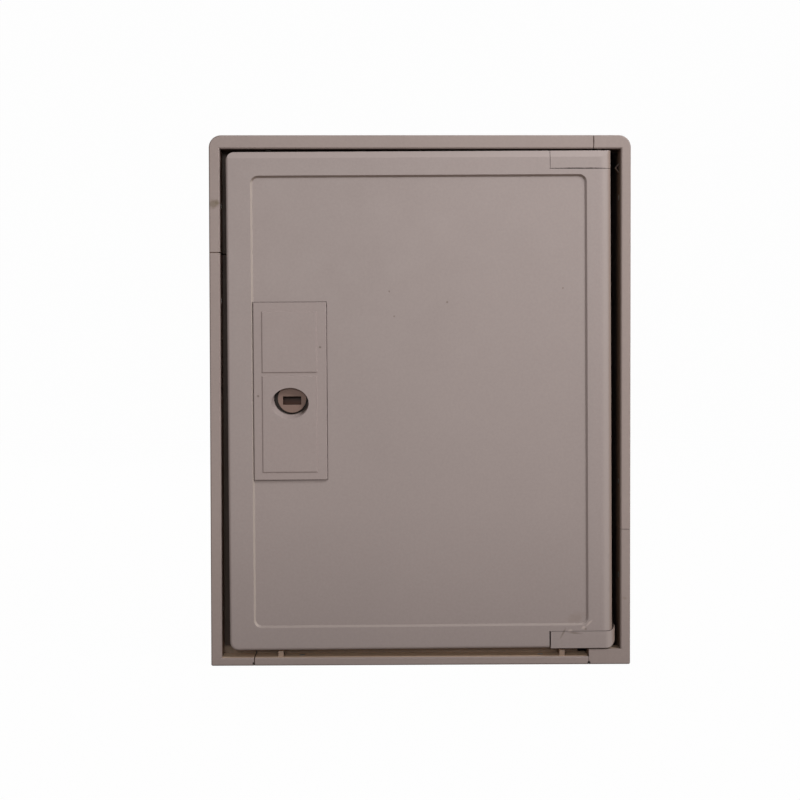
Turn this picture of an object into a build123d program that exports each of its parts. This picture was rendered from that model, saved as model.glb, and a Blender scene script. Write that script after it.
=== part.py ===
"""Wall-mounted gas meter box: back box, segmented front rim, hinged door, lock plate and lock."""

import os
from math import cos, degrees, atan, hypot, radians, sin, tan

from build123d import *

os.makedirs("parts", exist_ok=True)

# Overall box in millimetres: the wall is the plane y = 0, the front looks along -Y, +Z is up
box_width = 400.0
box_height = 504.0
box_depth = 210.0
wall = 3.0
top_corner_radius = 11.5
bottom_corner_radius = 1.5

# Front rim: widths of its rails seen from the front, channel section and rebate lip
rail_left = 10.1
rail_right = 9.2
rail_top = 12.6
rail_bottom = 7.5
rim_depth = 30.0
rim_web = 4.0
rim_inner_leg = 2.4
rim_edge_chamfer = 1.0
channel_fit = 0.15
lip_thickness = 3.0
lip_left = 12.8
lip_top = 9.8
lip_bottom = 14.8

# Butt seams of the rim, measured from the box edge that each one is nearest to; all but the two
# next to the lower hinge have opened with time
seam_gap = 0.35
open_seam_gap = 0.9
seam_nick = 1.6
seam_nick_from_edge = 1.3
seam_nick_depth = 6.0
top_seam_from_right = 35.4
left_seam_from_top = 110.7
right_seam_from_bottom = 129.3
bottom_seam_from_left = 41.1
bottom_seam_from_right = 39.6

# Pegs under the door on the bottom rail, and the snap lug on the hinge side
peg_width = 5.0
peg_height = 5.4
peg_depth = 20.0
peg_setback = 6.0
peg_from_seam = 25.0
lug_reach = 3.4
lug_height = 12.0
lug_thickness = 1.0
lug_depth = 6.0
lug_setback = 12.0
lug_from_top = 29.6

# Door: gaps to the rim, moulded shell and edge rolls; its lock side hangs a little low
door_gap_left = 6.9
door_gap_right = 8.9
door_gap_top = 2.5
door_gap_bottom = 8.2
door_sag = 0.26
door_proud = 1.5
door_seat_gap = 0.3
door_skin = 3.0
door_flange = 3.0
door_corner_radius = 8.0
door_edge_roll = 2.5
top_bevel_height = 6.2
top_bevel_depth = 3.0
hinge_roll_width = 11.0
hinge_roll_angle = 45.0
hinge_side_depth = 24.5
rib_thickness = 2.0
rib_depth = 15.0
upper_rib_z = 125.0
lower_rib_z = -115.0
upright_rib_x = 20.0

# Recessed panel of the door front
panel_border = 23.0
panel_border_top = 22.6
panel_border_bottom = 21.4
panel_depth = 2.4
panel_slope = 1.8
panel_corner_radius = 7.5

# Lock plate let into the door, placed from the door's lock-side edge and its mid-height
plate_from_left = 24.6
plate_centre_z = 10.0
plate_width = 69.5
plate_height = 168.7
plate_thickness = 3.0
plate_gap = 0.4
plate_edge_chamfer = 0.5
skirt_thickness = 2.0
ear_depth = 11.0
ear_thickness = 2.5
ear_reach = 10.0
ear_width = 12.0
ear_from_end = 30.0
post_side = 8.0
pad_width = 52.6
pad_shift = -0.6
pad_height = 0.9
pad_edge_angle = 45.0
pad_top_margin = 8.6
pad_bottom_margin = 7.0
pad_spacing = 2.6
upper_pad_height = 58.4

# Lock: oval dish in the lower pad, plug set high in it, barrel behind the plate
lock_from_plate_x = 1.4
lock_below_plate_centre = 7.0
dish_width = 35.4
dish_height = 29.4
dish_depth = 6.0
dish_shift_x = -1.7
dish_shift_z = -4.6
plug_radius = 13.5
plug_ring_gap = 1.4
plug_side_gap = 2.8
seat_shift_x = -0.6
plug_head = 6.0
plug_seat_gap = 0.3
plug_shaft_radius = 10.5
plug_running_gap = 0.08
barrel_wall = 3.0
key_slot_width = 17.4
key_slot_height = 7.9
key_slot_depth = 10.0
key_slot_drop = 2.0
cam_clearance = 0.7
cam_thickness = 3.0
cam_length = 54.0
cam_hub_radius = 12.0
cam_tip_radius = 8.0
cam_square = 9.0
cam_square_fit = 0.1
cam_washer_radius = 9.0
cam_washer_thickness = 1.2

# Hinge: pins in the door's corner blocks run in sockets of the rim
hinge_inset = 11.2
hinge_depth = 13.5
pin_radius = 2.5
pin_running_gap = 0.06
pin_seat = 12.0
pin_reach = 7.5
thrust_gap = 0.35
socket_half_width = 8.0
socket_height = 7.2
socket_depth = 23.0
upper_block_width = 57.6
upper_block_height = 17.0
lower_block_width = 59.0
lower_block_height = 16.0
lower_block_proud = 2.6
lower_block_drop = 0.5
lower_block_horn = 5.0
lower_block_horn_tip = 0.4
block_gap = 0.35
lower_block_gap = 1.3
block_depth = 20.5
pocket_wall = 3.0
lip_swing_gap = 1.5

# Fixings: self-tapping screws with few sides, wall holes, bracket and pipe entries
screw_sides = 8
countersink_angle = 45.0
screw_radius = 1.5
screw_head_radius = 3.1
screw_head_height = 2.2
rim_screw_length = 5.2
rim_screw_from_end = 45.0
plate_screw_length = 8.0
block_screw_length = 12.0
block_screw_pitch = 22.0
block_screw_from_edge = 24.0
screw_fit = 0.05
wall_hole_radius = 3.5
wall_hole_spacing_x = 320.0
wall_hole_spacing_z = 420.0
wall_boss_side = 20.0
wall_boss_height = 5.0
back_rib_thickness = 3.0
back_rib_height = 6.0
back_rib_pitch = 170.0
bracket_width = 200.0
bracket_sheet = 2.5
bracket_bend_radius = 5.0
bracket_back_height = 45.0
bracket_shelf_depth = 92.0
bracket_lip_height = 14.0
bracket_shelf_z = 110.0
bracket_boss_height = 12.0
bracket_boss_side = 16.0
bracket_screw_pitch = 150.0
bracket_screw_radius = 2.5
bracket_screw_head_radius = 5.0
bracket_screw_head_height = 3.2
bracket_screw_length = 11.0
union_pitch = 110.0
union_hole_radius = 17.0
union_from_wall = 68.0
pipe_radius = 14.0
gland_margin = 10.0
gland_flange = 5.0
gland_flange_thickness = 2.5
gland_fit = 0.1
knockout_side = 42.0
knockout_groove = 1.2
knockout_groove_depth = 1.0
knockout_from_bottom = 62.0

# Places that follow from the sizes above
tray_depth = box_depth - rim_depth
opening_left = rail_left - box_width / 2
opening_right = box_width / 2 - rail_right
opening_top = box_height / 2 - rail_top
opening_bottom = rail_bottom - box_height / 2
opening_width = opening_right - opening_left
opening_height = opening_top - opening_bottom
opening_centre = ((opening_left + opening_right) / 2, (opening_top + opening_bottom) / 2)
collar_inset = rim_inner_leg + channel_fit
collar_length = rim_depth - rim_web - channel_fit
top_seam = box_width / 2 - top_seam_from_right
left_seam = box_height / 2 - left_seam_from_top
right_seam = right_seam_from_bottom - box_height / 2
bottom_left_seam = bottom_seam_from_left - box_width / 2
bottom_right_seam = box_width / 2 - bottom_seam_from_right
socket_top = opening_bottom + socket_height
hinge_roll = hinge_roll_width / sin(radians(hinge_roll_angle))

door_width = opening_width - door_gap_left - door_gap_right
door_height = opening_height - door_gap_top - door_gap_bottom
door_x = (opening_left + door_gap_left + opening_right - door_gap_right) / 2
door_z = (opening_bottom + door_gap_bottom + opening_top - door_gap_top) / 2
door_front = -(box_depth + door_proud)
door_depth = rim_depth + door_proud - lip_thickness - door_seat_gap
door_right = door_width / 2
door_top = door_height / 2
sag_angle = radians(door_sag)
door_plane = Plane((door_x, door_front, door_z), (cos(sag_angle), 0, sin(sag_angle)), (0, -1, 0))
door_section = Plane(door_plane.origin, door_plane.x_dir, door_plane.y_dir)
door_side = Plane(door_plane.origin, door_plane.y_dir, door_plane.x_dir)

hinge_x = door_x + door_right - hinge_inset
hinge_y = door_front + hinge_depth
hinge_rise = (hinge_x - door_x) * tan(sag_angle)
door_top_at_hinge = door_z + door_top / cos(sag_angle) + hinge_rise
door_bottom_at_hinge = door_z - door_top / cos(sag_angle) + hinge_rise
swing_radius = hypot(hinge_inset + door_top * sin(sag_angle), hinge_side_depth - hinge_depth)
lip_end = hinge_x - swing_radius - lip_swing_gap
relief_start = door_right - max(upper_block_width, lower_block_width) - lower_block_gap - pocket_wall

plate_x = plate_from_left + plate_width / 2 - door_right
plate_z = plate_centre_z
lock_x = plate_x + lock_from_plate_x
lock_z = plate_z - lock_below_plate_centre
seat_half_width = plug_radius + plug_side_gap
seat_half_height = plug_radius + plug_ring_gap
seat_depth = dish_depth - pad_height
barrel_radius = plug_shaft_radius + plug_running_gap + barrel_wall
cam_depth = box_depth + door_proud - tray_depth + cam_clearance
ear_x = plate_width / 2 + ear_reach / 2
ear_z = plate_height / 2 - ear_from_end
gland_length = union_pitch + 2 * (pipe_radius + gland_margin)
gland_width = 2 * (pipe_radius + gland_margin)


def front_plane(y):
    """Upright plane at depth y: sketch x is right, sketch y is up, extrusions run forwards."""
    return Plane.XZ.offset(-y)


def box_outline(y, inset=0.0):
    """Outline of the box seen from the front, round at the top corners and nearly square below."""
    with BuildSketch(front_plane(y)) as outline:
        Rectangle(box_width - 2 * inset, box_height - 2 * inset)
        top_corners = outline.vertices().group_by(Axis.Y)[-1]
        fillet(top_corners, radius=max(top_corner_radius - inset, bottom_corner_radius))
        fillet(outline.vertices().group_by(Axis.Y)[0], radius=bottom_corner_radius)
    return outline.sketch


def opening_outline(y, grow=0.0):
    """The rim's rectangular opening at depth y, grown evenly on its four sides."""
    with BuildSketch(front_plane(y)) as outline:
        with Locations(opening_centre):
            Rectangle(opening_width + 2 * grow, opening_height + 2 * grow)
    return outline.sketch


def hinge_zone(y, half_width):
    """Strip across both rails at the hinge line, where the collar makes room for the sockets."""
    with BuildSketch(front_plane(y)) as strip:
        with Locations((hinge_x, 0)):
            Rectangle(2 * half_width, 2 * box_height)
    return strip.sketch


def upper_block_outline(grow=0.0):
    """Upper hinge block in the door plane, run out past the door's own edges."""
    with BuildSketch(door_plane) as outline:
        with Locations((door_right - upper_block_width - grow, door_top - upper_block_height - grow)):
            Rectangle(2 * upper_block_width, 2 * upper_block_height, align=(Align.MIN, Align.MIN))
    return outline.sketch


def lower_block_outline(side_gap=0.0, top_gap=0.0):
    """Lower hinge block in the door plane; its top edge flares up into a horn at the hinge side."""
    block_top = lower_block_height - lower_block_drop - door_top
    horn_foot = door_right + lower_block_proud - lower_block_horn_tip - lower_block_horn
    with BuildSketch(door_plane) as outline:
        with Locations((door_right - lower_block_width - side_gap, block_top + top_gap)):
            Rectangle(2 * lower_block_width, 2 * lower_block_height, align=(Align.MIN, Align.MAX))
        with Locations((horn_foot, block_top)):
            Rectangle(2 * lower_block_horn, lower_block_horn + top_gap, align=(Align.MIN, Align.MIN))
        with Locations((horn_foot, block_top + lower_block_horn)):
            Circle(lower_block_horn - top_gap, mode=Mode.SUBTRACT)
    return outline.sketch


def rim_screw_places():
    """Where the rim is screwed to the collar: planes on the rim's inner faces, looking inwards."""
    y = -(tray_depth + rim_depth / 2)
    run = rim_screw_from_end
    left_zs = (left_seam + run, left_seam - run, opening_bottom + run)
    right_zs = (opening_top - run, right_seam + run, right_seam - run)
    places = [Plane((opening_left, y, z), (0, 0, 1), (1, 0, 0)) for z in left_zs]
    places += [Plane((opening_right, y, z), (0, 0, 1), (-1, 0, 0)) for z in right_zs]
    top_xs = (opening_left + run, top_seam - run)
    bottom_xs = (bottom_left_seam + run, bottom_right_seam - run)
    places += [Plane((x, y, opening_top), (1, 0, 0), (0, 0, -1)) for x in top_xs]
    places += [Plane((x, y, opening_bottom), (1, 0, 0), (0, 0, 1)) for x in bottom_xs]
    return places


# Back box: one moulded tray with a stepped front that carries the rim on a collar
with BuildPart() as back_box:
    extrude(box_outline(0), amount=tray_depth)
    extrude(box_outline(-wall, wall), amount=tray_depth - 2 * wall, mode=Mode.SUBTRACT)
    extrude(opening_outline(wall - tray_depth, collar_inset), amount=wall, mode=Mode.SUBTRACT)
    with BuildSketch(front_plane(-tray_depth)):
        add(opening_outline(-tray_depth, collar_inset + wall))
        add(opening_outline(-tray_depth, collar_inset), mode=Mode.SUBTRACT)
        add(hinge_zone(-tray_depth, socket_half_width + channel_fit), mode=Mode.SUBTRACT)
    extrude(amount=collar_length)
    with BuildSketch(*rim_screw_places()):
        RegularPolygon(screw_radius + screw_fit, screw_sides)
    extrude(amount=-(rim_inner_leg + 2 * channel_fit + wall), mode=Mode.SUBTRACT)
    with BuildSketch(front_plane(-wall)):
        with GridLocations(1, back_rib_pitch, 1, 3):
            Rectangle(box_width - 2 * wall, back_rib_thickness)
    extrude(amount=back_rib_height)
    with BuildSketch(front_plane(-wall)):
        with GridLocations(wall_hole_spacing_x, wall_hole_spacing_z, 2, 2):
            Rectangle(wall_boss_side, wall_boss_side)
    extrude(amount=wall_boss_height)
    with BuildSketch(front_plane(0)):
        with GridLocations(wall_hole_spacing_x, wall_hole_spacing_z, 2, 2):
            Circle(wall_hole_radius)
    extrude(amount=wall + wall_boss_height, mode=Mode.SUBTRACT)
    with BuildSketch(front_plane(-wall)):
        with Locations((0, bracket_shelf_z + bracket_back_height / 2)):
            with GridLocations(bracket_screw_pitch, 1, 2, 1):
                Rectangle(bracket_boss_side, bracket_boss_side)
    extrude(amount=bracket_boss_height)
    with BuildSketch(front_plane(-wall)):
        with Locations((0, bracket_shelf_z + bracket_back_height / 2)):
            with GridLocations(bracket_screw_pitch, 1, 2, 1):
                RegularPolygon(bracket_screw_radius + screw_fit, screw_sides)
    extrude(amount=bracket_boss_height, mode=Mode.SUBTRACT)
    with BuildSketch(Plane.XY.offset(-box_height / 2)):
        with Locations((0, -union_from_wall)):
            Rectangle(gland_length, gland_width)
    extrude(amount=wall, mode=Mode.SUBTRACT)
    for side in (-1, 1):
        with BuildSketch(Plane((side * box_width / 2, 0, 0), (0, 1, 0), (side, 0, 0))):
            with Locations((-union_from_wall, side * (knockout_from_bottom - box_height / 2))):
                Rectangle(knockout_side + 2 * knockout_groove, knockout_side + 2 * knockout_groove)
                Rectangle(knockout_side, knockout_side, mode=Mode.SUBTRACT)
        extrude(amount=-knockout_groove_depth, mode=Mode.SUBTRACT)
back_box.part.label = "back_box"
export_step(back_box.part, "parts/back_box.step")

# Rim before it is cut at its seams: channel section, rebate lip, hinge sockets, pegs and lug
with BuildPart() as whole_rim:
    extrude(box_outline(-tray_depth), amount=rim_depth)
    extrude(opening_outline(-tray_depth), amount=rim_depth, mode=Mode.SUBTRACT)
    chamfer(whole_rim.faces().sort_by(Axis.Y)[0].edges(), length=rim_edge_chamfer)
    with BuildSketch(front_plane(-tray_depth)):
        add(opening_outline(-tray_depth, collar_inset + wall + channel_fit))
        add(opening_outline(-tray_depth, rim_inner_leg), mode=Mode.SUBTRACT)
        add(hinge_zone(-tray_depth, socket_half_width), mode=Mode.SUBTRACT)
    extrude(amount=rim_depth - rim_web, mode=Mode.SUBTRACT)
    with BuildSketch(front_plane(-tray_depth)):
        add(opening_outline(-tray_depth))
        with Locations((opening_left + lip_left, opening_bottom + lip_bottom)):
            Rectangle(
                box_width,
                opening_height - lip_top - lip_bottom,
                align=(Align.MIN, Align.MIN),
                mode=Mode.SUBTRACT,
            )
        with Locations((lip_end, 0)):
            Rectangle(box_width, box_height, align=(Align.MIN, Align.CENTER), mode=Mode.SUBTRACT)
    extrude(amount=lip_thickness)
    with BuildSketch(front_plane(socket_depth - box_depth)):
        with Locations((bottom_right_seam, opening_bottom - rim_edge_chamfer)):
            Rectangle(
                opening_right + rim_edge_chamfer - bottom_right_seam,
                socket_height + rim_edge_chamfer,
                align=(Align.MIN, Align.MIN),
            )
    extrude(amount=socket_depth)
    with BuildSketch(front_plane(peg_setback + peg_depth - box_depth)):
        with Locations(
            (bottom_left_seam + peg_from_seam, opening_bottom),
            (bottom_right_seam - peg_from_seam, opening_bottom),
        ):
            Rectangle(peg_width, peg_height, align=(Align.CENTER, Align.MIN))
    extrude(amount=peg_depth)
    with BuildSketch(front_plane(lug_setback + lug_depth - box_depth)):
        with BuildLine():
            lug_z = box_height / 2 - lug_from_top
            lug_root = opening_right + rim_inner_leg / 2
            Polyline(
                (lug_root, lug_z + lug_height / 2),
                (opening_right - lug_reach, lug_z),
                (lug_root, lug_z - lug_height / 2),
            )
        trace(line_width=lug_thickness)
    extrude(amount=lug_depth)
    with BuildSketch(front_plane(-tray_depth)):
        with Locations((top_seam, opening_top)):
            Rectangle(open_seam_gap, 2 * rail_top)
        with Locations((opening_left, left_seam)):
            Rectangle(2 * (rail_left + lip_left), open_seam_gap)
        with Locations((bottom_left_seam, opening_bottom)):
            Rectangle(open_seam_gap, 2 * (rail_bottom + lip_bottom))
    extrude(amount=rim_depth, mode=Mode.SUBTRACT)
    with BuildSketch(front_plane(-box_depth)):
        with Locations(
            (bottom_left_seam, seam_nick_from_edge - box_height / 2),
            (bottom_right_seam, seam_nick_from_edge - box_height / 2),
        ):
            Rectangle(seam_nick, seam_nick)
    extrude(amount=-seam_nick_depth, mode=Mode.SUBTRACT)
    with BuildSketch(Plane.XY.offset(opening_top)):
        with Locations((hinge_x, hinge_y)):
            Circle(pin_radius + pin_running_gap)
    extrude(amount=pin_reach + thrust_gap, mode=Mode.SUBTRACT)
    with BuildSketch(Plane.XY.offset(socket_top)):
        with Locations((hinge_x, hinge_y)):
            Circle(pin_radius + pin_running_gap)
    extrude(amount=-pin_reach - thrust_gap, mode=Mode.SUBTRACT)
    with BuildSketch(*rim_screw_places()):
        RegularPolygon(screw_radius + screw_fit, screw_sides)
    extrude(amount=-rim_inner_leg - channel_fit, mode=Mode.SUBTRACT)
    with BuildSketch(*rim_screw_places()):
        RegularPolygon(screw_head_radius, screw_sides)
    extrude(amount=screw_radius - screw_head_radius, taper=countersink_angle, mode=Mode.SUBTRACT)


def rim_region(low, high):
    """Part of the front between two corners, kept half a seam back from each of its edges."""
    with BuildSketch(front_plane(-tray_depth)) as region:
        with Locations(((low[0] + high[0]) / 2, (low[1] + high[1]) / 2)):
            Rectangle(high[0] - low[0] - seam_gap, high[1] - low[1] - seam_gap)
    return region.sketch


# Rim segments: the whole rim cut at its five butt seams
with BuildPart() as rim_top_left:
    add(whole_rim.part)
    extrude(
        rim_region((-box_width, left_seam), (top_seam, box_height)),
        amount=rim_depth,
        mode=Mode.INTERSECT,
    )
rim_top_left.part.label = "rim_top_left"
export_step(rim_top_left.part, "parts/rim_top_left.step")

with BuildPart() as rim_top_right:
    add(whole_rim.part)
    extrude(
        rim_region((top_seam, right_seam), (box_width, box_height)),
        amount=rim_depth,
        mode=Mode.INTERSECT,
    )
rim_top_right.part.label = "rim_top_right"
export_step(rim_top_right.part, "parts/rim_top_right.step")

with BuildPart() as rim_bottom_right:
    add(whole_rim.part)
    extrude(
        rim_region((bottom_right_seam, -box_height), (box_width, right_seam)),
        amount=rim_depth,
        mode=Mode.INTERSECT,
    )
rim_bottom_right.part.label = "rim_bottom_right"
export_step(rim_bottom_right.part, "parts/rim_bottom_right.step")

with BuildPart() as rim_bottom:
    add(whole_rim.part)
    extrude(
        rim_region((bottom_left_seam, -box_height), (bottom_right_seam, 0)),
        amount=rim_depth,
        mode=Mode.INTERSECT,
    )
rim_bottom.part.label = "rim_bottom"
export_step(rim_bottom.part, "parts/rim_bottom.step")

with BuildPart() as rim_bottom_left:
    add(whole_rim.part)
    extrude(
        rim_region((-box_width, -box_height), (bottom_left_seam, left_seam)),
        amount=rim_depth,
        mode=Mode.INTERSECT,
    )
rim_bottom_left.part.label = "rim_bottom_left"
export_step(rim_bottom_left.part, "parts/rim_bottom_left.step")

# Rim screws: countersunk screws that hold the rim's inner leg to the collar
with BuildPart() as rim_screws:
    with BuildSketch(*rim_screw_places()):
        RegularPolygon(screw_radius, screw_sides)
    extrude(amount=-rim_screw_length)
    with BuildSketch(*rim_screw_places()):
        RegularPolygon(screw_head_radius - screw_fit, screw_sides)
    extrude(amount=screw_radius - screw_head_radius, taper=countersink_angle)
rim_screws.part.label = "rim_screws"
export_step(rim_screws.part, "parts/rim_screws.step")

# Meter bracket: a folded sheet on two bosses of the back, with the two holes for the meter unions
with BuildPart() as meter_bracket:
    bracket_back = -(wall + bracket_boss_height + bracket_sheet / 2)
    shelf_middle = bracket_shelf_z - bracket_sheet / 2
    shelf_front = bracket_back - bracket_shelf_depth
    with BuildSketch(Plane.YZ.offset(-bracket_width / 2)):
        with BuildLine():
            FilletPolyline(
                (bracket_back, bracket_shelf_z + bracket_back_height),
                (bracket_back, shelf_middle),
                (shelf_front, shelf_middle),
                (shelf_front, shelf_middle - bracket_lip_height),
                radius=bracket_bend_radius,
            )
        trace(line_width=bracket_sheet)
    extrude(amount=bracket_width)
    with BuildSketch(Plane.XY.offset(bracket_shelf_z)):
        with Locations((0, -union_from_wall)):
            with GridLocations(union_pitch, 1, 2, 1):
                Circle(union_hole_radius)
    extrude(amount=-2 * bracket_sheet, mode=Mode.SUBTRACT)
    with BuildSketch(front_plane(-wall)):
        with Locations((0, bracket_shelf_z + bracket_back_height / 2)):
            with GridLocations(bracket_screw_pitch, 1, 2, 1):
                RegularPolygon(bracket_screw_radius + screw_fit, screw_sides)
    extrude(amount=bracket_boss_height + 2 * bracket_sheet, mode=Mode.SUBTRACT)
meter_bracket.part.label = "meter_bracket"
export_step(meter_bracket.part, "parts/meter_bracket.step")

# Bracket screws: pan heads on the bracket, shanks in the bosses
with BuildPart() as bracket_screws:
    bracket_face = -(wall + bracket_boss_height + bracket_sheet)
    with BuildSketch(front_plane(bracket_face)):
        with Locations((0, bracket_shelf_z + bracket_back_height / 2)):
            with GridLocations(bracket_screw_pitch, 1, 2, 1):
                RegularPolygon(bracket_screw_head_radius, screw_sides)
    extrude(amount=bracket_screw_head_height)
    with BuildSketch(front_plane(bracket_face)):
        with Locations((0, bracket_shelf_z + bracket_back_height / 2)):
            with GridLocations(bracket_screw_pitch, 1, 2, 1):
                RegularPolygon(bracket_screw_radius, screw_sides)
    extrude(amount=-bracket_screw_length)
bracket_screws.part.label = "bracket_screws"
export_step(bracket_screws.part, "parts/bracket_screws.step")

# Pipe gland: one rubber plate in the bottom wall, flanged inside, with the two pipe holes
with BuildPart() as pipe_gland:
    with BuildSketch(Plane.XY.offset(-box_height / 2)):
        with Locations((0, -union_from_wall)):
            Rectangle(gland_length - 2 * gland_fit, gland_width - 2 * gland_fit)
    extrude(amount=wall)
    with BuildSketch(Plane.XY.offset(wall - box_height / 2)):
        with Locations((0, -union_from_wall)):
            Rectangle(gland_length + 2 * gland_flange, gland_width + 2 * gland_flange)
    extrude(amount=gland_flange_thickness)
    with BuildSketch(Plane.XY.offset(-box_height / 2)):
        with Locations((0, -union_from_wall)):
            with GridLocations(union_pitch, 1, 2, 1):
                Circle(pipe_radius)
    extrude(amount=wall + gland_flange_thickness, mode=Mode.SUBTRACT)
pipe_gland.part.label = "pipe_gland"
export_step(pipe_gland.part, "parts/pipe_gland.step")

def hinge_roll_waste(right):
    """What the rolled hinge side leaves away in front of its arc, which meets the side at right."""
    with BuildSketch(door_section) as waste:
        with Locations((right - hinge_roll_width, hinge_roll)):
            Rectangle(2 * hinge_roll, 2 * hinge_roll, align=(Align.MIN, Align.MAX))
            Circle(hinge_roll, mode=Mode.SUBTRACT)
    return waste.sketch


# Door form: the outer shape that the door panel and its upper hinge block share
with BuildPart() as door_form:
    with BuildSketch(door_plane) as door_outline:
        Rectangle(door_width, door_height)
        fillet(door_outline.vertices().sort_by(Axis((0, 0, 0), (1, 1, 0)))[:-1], radius=door_corner_radius)
    extrude(amount=-door_depth)
    fillet(door_form.faces().sort_by(Axis.Y)[0].edges(), radius=door_edge_roll)
    extrude(hinge_roll_waste(door_right), amount=door_height, both=True, mode=Mode.SUBTRACT)
    with BuildSketch(door_side):
        with BuildLine():
            Polyline(
                (door_top, 0),
                (door_top - top_bevel_height, 0),
                (door_top, -top_bevel_depth),
                close=True,
            )
        make_face()
    extrude(amount=door_width, both=True, mode=Mode.SUBTRACT)
    with BuildSketch(door_section):
        with Locations((relief_start, hinge_side_depth)):
            Rectangle(door_width, door_depth, align=(Align.MIN, Align.MIN))
    extrude(amount=door_height, both=True, mode=Mode.SUBTRACT)

# Solid corners of the door that take the hinge blocks
with BuildPart() as upper_pocket:
    add(door_form.part)
    extrude(upper_block_outline(block_gap + pocket_wall), amount=-door_depth, mode=Mode.INTERSECT)

with BuildPart() as lower_pocket:
    add(door_form.part)
    extrude(
        lower_block_outline(lower_block_gap + pocket_wall, block_gap + pocket_wall),
        amount=-door_depth,
        mode=Mode.INTERSECT,
    )


def block_screw_places(side):
    """Screw axes behind a hinge block, on the back of its pocket; side is 1 at the top, -1 below."""
    heights = {1: door_top - upper_block_height / 2, -1: lower_block_height / 2 - door_top}
    with BuildSketch(door_plane.offset(-hinge_side_depth)) as marks:
        with Locations((door_right - block_screw_from_edge - block_screw_pitch / 2, heights[side])):
            with GridLocations(block_screw_pitch, 1, 2, 1):
                Circle(screw_radius)
    return [Plane(face.center(), door_plane.x_dir, (0, 1, 0)) for face in marks.sketch.faces()]


def plate_screw_places():
    """Screw axes on the four ears of the lock plate, looking back."""
    places = []
    for x in (plate_x - ear_x, plate_x + ear_x):
        for z in (plate_z - ear_z, plate_z + ear_z):
            spot = door_plane.from_local_coords(Vector(x, z, -ear_depth - ear_thickness))
            places.append(Plane(spot, door_plane.x_dir, (0, 1, 0)))
    return places


# Door panel: moulded shell with recessed front, flange, ribs, hinge pockets and lock opening
with BuildPart() as door_panel:
    add(door_form.part)
    with BuildSketch(door_section) as cavity:
        with Locations((0, door_skin)):
            Rectangle(door_width - 2 * door_flange, door_depth, align=(Align.CENTER, Align.MIN))
        front_corners = cavity.vertices().group_by(Axis.Y)[0].sort_by(Axis.X)
        fillet(front_corners[-1], radius=hinge_roll_width - door_skin)
    extrude(amount=door_top - door_flange, both=True, mode=Mode.SUBTRACT)
    panel_height = door_height - panel_border_top - panel_border_bottom
    panel_z = (panel_border_bottom - panel_border_top) / 2
    with BuildSketch(door_plane.offset(-door_skin)):
        with Locations((0, panel_z)):
            RectangleRounded(door_width - 2 * panel_border, panel_height, panel_corner_radius)
    extrude(amount=-panel_depth)
    for rib_z in (upper_rib_z, lower_rib_z):
        with BuildSketch(door_plane.offset(-door_skin)):
            with Locations((0, rib_z)):
                Rectangle(door_width - 2 * hinge_roll_width, rib_thickness)
        extrude(amount=-rib_depth)
    with BuildSketch(door_plane.offset(-door_skin)):
        with Locations((upright_rib_x, 0)):
            Rectangle(rib_thickness, door_height - 2 * door_flange)
    extrude(amount=-rib_depth)
    with BuildSketch(door_plane):
        with Locations((0, panel_z)):
            RectangleRounded(door_width - 2 * panel_border, panel_height, panel_corner_radius)
    extrude(amount=-panel_depth, taper=degrees(atan(panel_slope / panel_depth)), mode=Mode.SUBTRACT)
    with BuildSketch(door_plane.offset(-door_skin)):
        with Locations((plate_x, plate_z)):
            with GridLocations(2 * ear_x, 2 * ear_z, 2, 2):
                Rectangle(post_side, post_side)
    extrude(amount=door_skin - ear_depth)
    with BuildSketch(door_plane):
        with Locations((plate_x, plate_z)):
            Rectangle(plate_width + 2 * plate_gap, plate_height + 2 * plate_gap)
    extrude(amount=-ear_depth, mode=Mode.SUBTRACT)
    with BuildSketch(*plate_screw_places()):
        RegularPolygon(screw_radius + screw_fit, screw_sides)
    extrude(amount=-plate_screw_length, mode=Mode.SUBTRACT)
    add(upper_pocket.part)
    add(lower_pocket.part)
    extrude(upper_block_outline(block_gap), amount=-block_depth, mode=Mode.SUBTRACT)
    extrude(lower_block_outline(lower_block_gap, block_gap), amount=-block_depth, mode=Mode.SUBTRACT)
    with BuildSketch(*block_screw_places(1), *block_screw_places(-1)):
        RegularPolygon(screw_radius + screw_fit, screw_sides)
    extrude(amount=block_depth - hinge_side_depth, mode=Mode.SUBTRACT)
door_panel.part.label = "door_panel"
export_step(door_panel.part, "parts/door_panel.step")

# Hinge blocks: corner inserts of the door, bored upright for the hinge pins
with BuildPart() as upper_hinge_block:
    add(door_form.part)
    extrude(upper_block_outline(), amount=-block_depth, mode=Mode.INTERSECT)
    with BuildSketch(Plane.XY.offset(door_top_at_hinge - pin_seat)):
        with Locations((hinge_x, hinge_y)):
            Circle(pin_radius)
    extrude(amount=2 * pin_seat, mode=Mode.SUBTRACT)
    with BuildSketch(*block_screw_places(1)):
        RegularPolygon(screw_radius + screw_fit, screw_sides)
    extrude(amount=-block_screw_length, mode=Mode.SUBTRACT)
upper_hinge_block.part.label = "upper_hinge_block"
export_step(upper_hinge_block.part, "parts/upper_hinge_block.step")

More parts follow.
